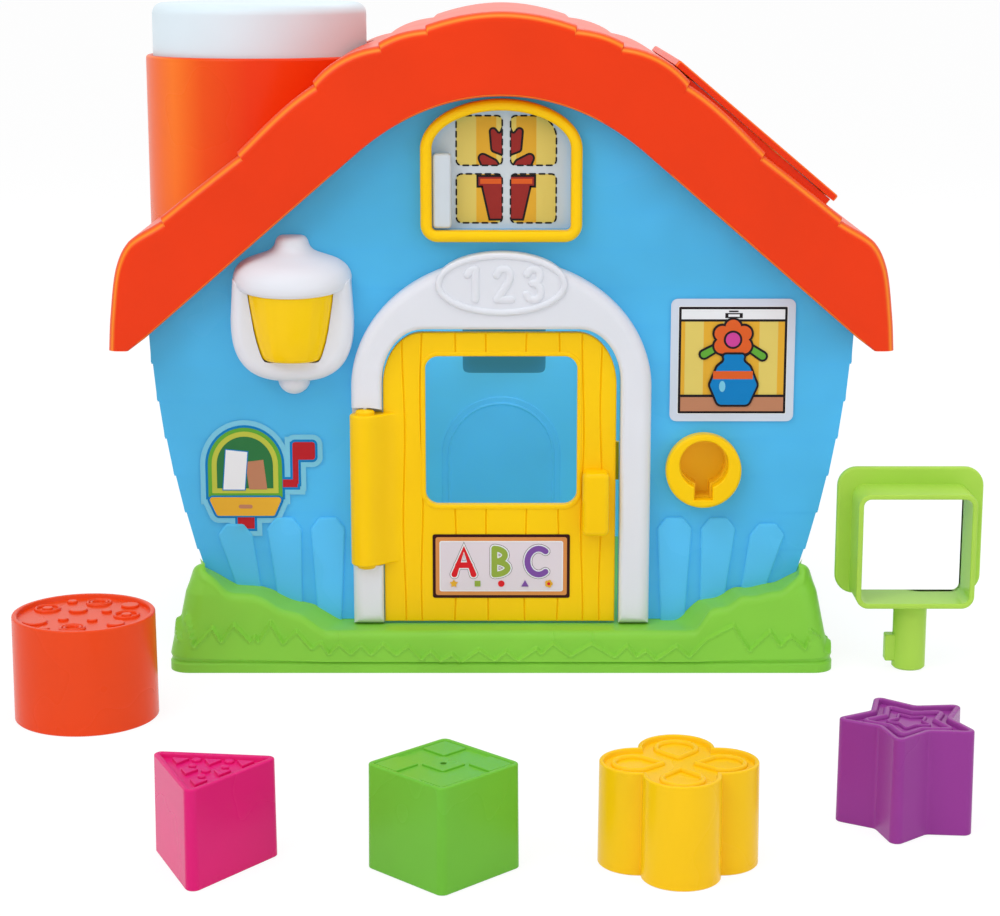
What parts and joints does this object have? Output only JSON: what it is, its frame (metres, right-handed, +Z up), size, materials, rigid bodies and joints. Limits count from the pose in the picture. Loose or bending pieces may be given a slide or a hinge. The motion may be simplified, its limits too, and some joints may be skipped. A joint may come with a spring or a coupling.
{
  "type": "baby activity center",
  "caption": "Toy playhouse shape sorter on a grass base, with a hinged door, a lock and key, a sliding window, a press chimney and lamp, and loose sorting blocks.",
  "frame": {"origin": "centre of the base's underside", "axes": "+Z up, front of the house towards -Y, +X to the right as seen from the front"},
  "size_m": [0.4144, 0.4497, 0.2873],
  "materials": {
    "grass_green": "smooth moulded plastic",
    "wall_blue": "glossy, slightly translucent moulded plastic",
    "roof_orange": "smooth moulded plastic",
    "cap_white": "frosted translucent plastic",
    "frame_white": "smooth moulded plastic",
    "yellow": "smooth moulded plastic",
    "key_green": "smooth moulded plastic",
    "block_orange": "smooth moulded plastic",
    "block_pink": "smooth moulded plastic",
    "block_green": "smooth moulded plastic",
    "block_yellow": "smooth moulded plastic",
    "block_purple": "smooth moulded plastic",
    "sticker_paper": "printed vinyl",
    "board_green": "circuit board",
    "dark_plastic": "plain moulded plastic",
    "steel": "plain steel"
  },
  "bodies": {
    "house": {"base_tray": "grass_green", "base_plate": "grass_green", "battery_door": "grass_green", "base_screw_1": "steel", "base_screw_2": "steel", "base_screw_3": "steel", "base_screw_4": "steel", "battery_screw": "steel", "sound_unit": "dark_plastic", "speaker": "dark_plastic", "front_wall": "wall_blue", "rear_wall": "wall_blue", "left_wall": "wall_blue", "right_wall": "wall_blue", "rear_catch": "roof_orange", "roof_shell": "roof_orange", "chimney_tube": "roof_orange", "lid_pin": "steel", "cap_spring": "steel", "cap_switch": "dark_plastic", "door_frame": "frame_white", "hinge_pin": "steel", "keyhole_ring": "yellow", "lock_case": "frame_white", "window_frame": "yellow", "shutter_track": "frame_white", "picture_card": "sticker_paper", "lamp_housing": "frame_white", "lens_spring": "steel", "lamp_board": "board_green", "picture_sticker": "sticker_paper", "mailbox_sticker": "sticker_paper"},
    "door": {"door": "yellow", "door_label": "sticker_paper"},
    "lock_rotor": {"lock_rotor": "roof_orange"},
    "lock_bolt": {"lock_bolt": "roof_orange"},
    "window_shutter": {"window_shutter": "frame_white"},
    "lamp_lens": {"lamp_lens": "yellow"},
    "chimney_cap": {"chimney_cap": "cap_white"},
    "sorter_lid": {"sorter_lid": "roof_orange"},
    "round_block": {"round_block": "block_orange"},
    "triangle_block": {"triangle_block": "block_pink"},
    "cube_block": {"cube_block": "block_green"},
    "flower_block": {"flower_block": "block_yellow"},
    "star_block": {"star_block": "block_purple"},
    "key": {"key": "key_green"}
  },
  "joints": [
    {"name": "door_hinge", "type": "hinge", "parent": "house", "child": "door", "pos_m": [-0.0593, -0.0867, 0.08], "axis": [0, 0, -1], "range_deg": [0, 110]},
    {"name": "lock_turn", "type": "hinge", "parent": "house", "child": "lock_rotor", "pos_m": [0.0889, -0.0777, 0.087], "axis": [0, -1, 0], "range_deg": [0, 90]},
    {"name": "bolt_slide", "type": "slide", "parent": "house", "child": "lock_bolt", "axis": [-1, 0, 0], "range_m": [0, 0.0071]},
    {"name": "shutter_slide", "type": "slide", "parent": "house", "child": "window_shutter", "axis": [1, 0, 0], "range_m": [0, 0.05]},
    {"name": "lens_press", "type": "slide", "parent": "house", "child": "lamp_lens", "axis": [0, 1, 0], "range_m": [0, 0.003], "stiffness_N_per_m": 300, "springref_m": -0.003, "deforming": ["lens_spring"]},
    {"name": "cap_press", "type": "slide", "parent": "house", "child": "chimney_cap", "axis": [0, 0, -1], "range_m": [0, 0.008], "stiffness_N_per_m": 300, "springref_m": -0.01, "deforming": ["cap_spring"]},
    {"name": "lid_hinge", "type": "hinge", "parent": "house", "child": "sorter_lid", "pos_m": [0.07509, 0, 0.26281], "axis": [0, -1, 0], "range_deg": [0, 120]},
    {"name": "round_block_lift", "type": "slide", "parent": "house", "child": "round_block", "axis": [0, 0, 1], "range_m": [0, 0.08]},
    {"name": "triangle_block_lift", "type": "slide", "parent": "house", "child": "triangle_block", "axis": [0, 0, 1], "range_m": [0, 0.08]},
    {"name": "cube_block_lift", "type": "slide", "parent": "house", "child": "cube_block", "axis": [0, 0, 1], "range_m": [0, 0.08]},
    {"name": "flower_block_lift", "type": "slide", "parent": "house", "child": "flower_block", "axis": [0, 0, 1], "range_m": [0, 0.08]},
    {"name": "star_block_lift", "type": "slide", "parent": "house", "child": "star_block", "axis": [0, 0, 1], "range_m": [0, 0.08]},
    {"name": "key_lift", "type": "slide", "parent": "house", "child": "key", "axis": [0, 0, 1], "range_m": [0, 0.05]}
  ],
  "couplings": [
    {"joint": "bolt_slide", "follows": "lock_turn", "m_per_rad": 0.0045}
  ]
}
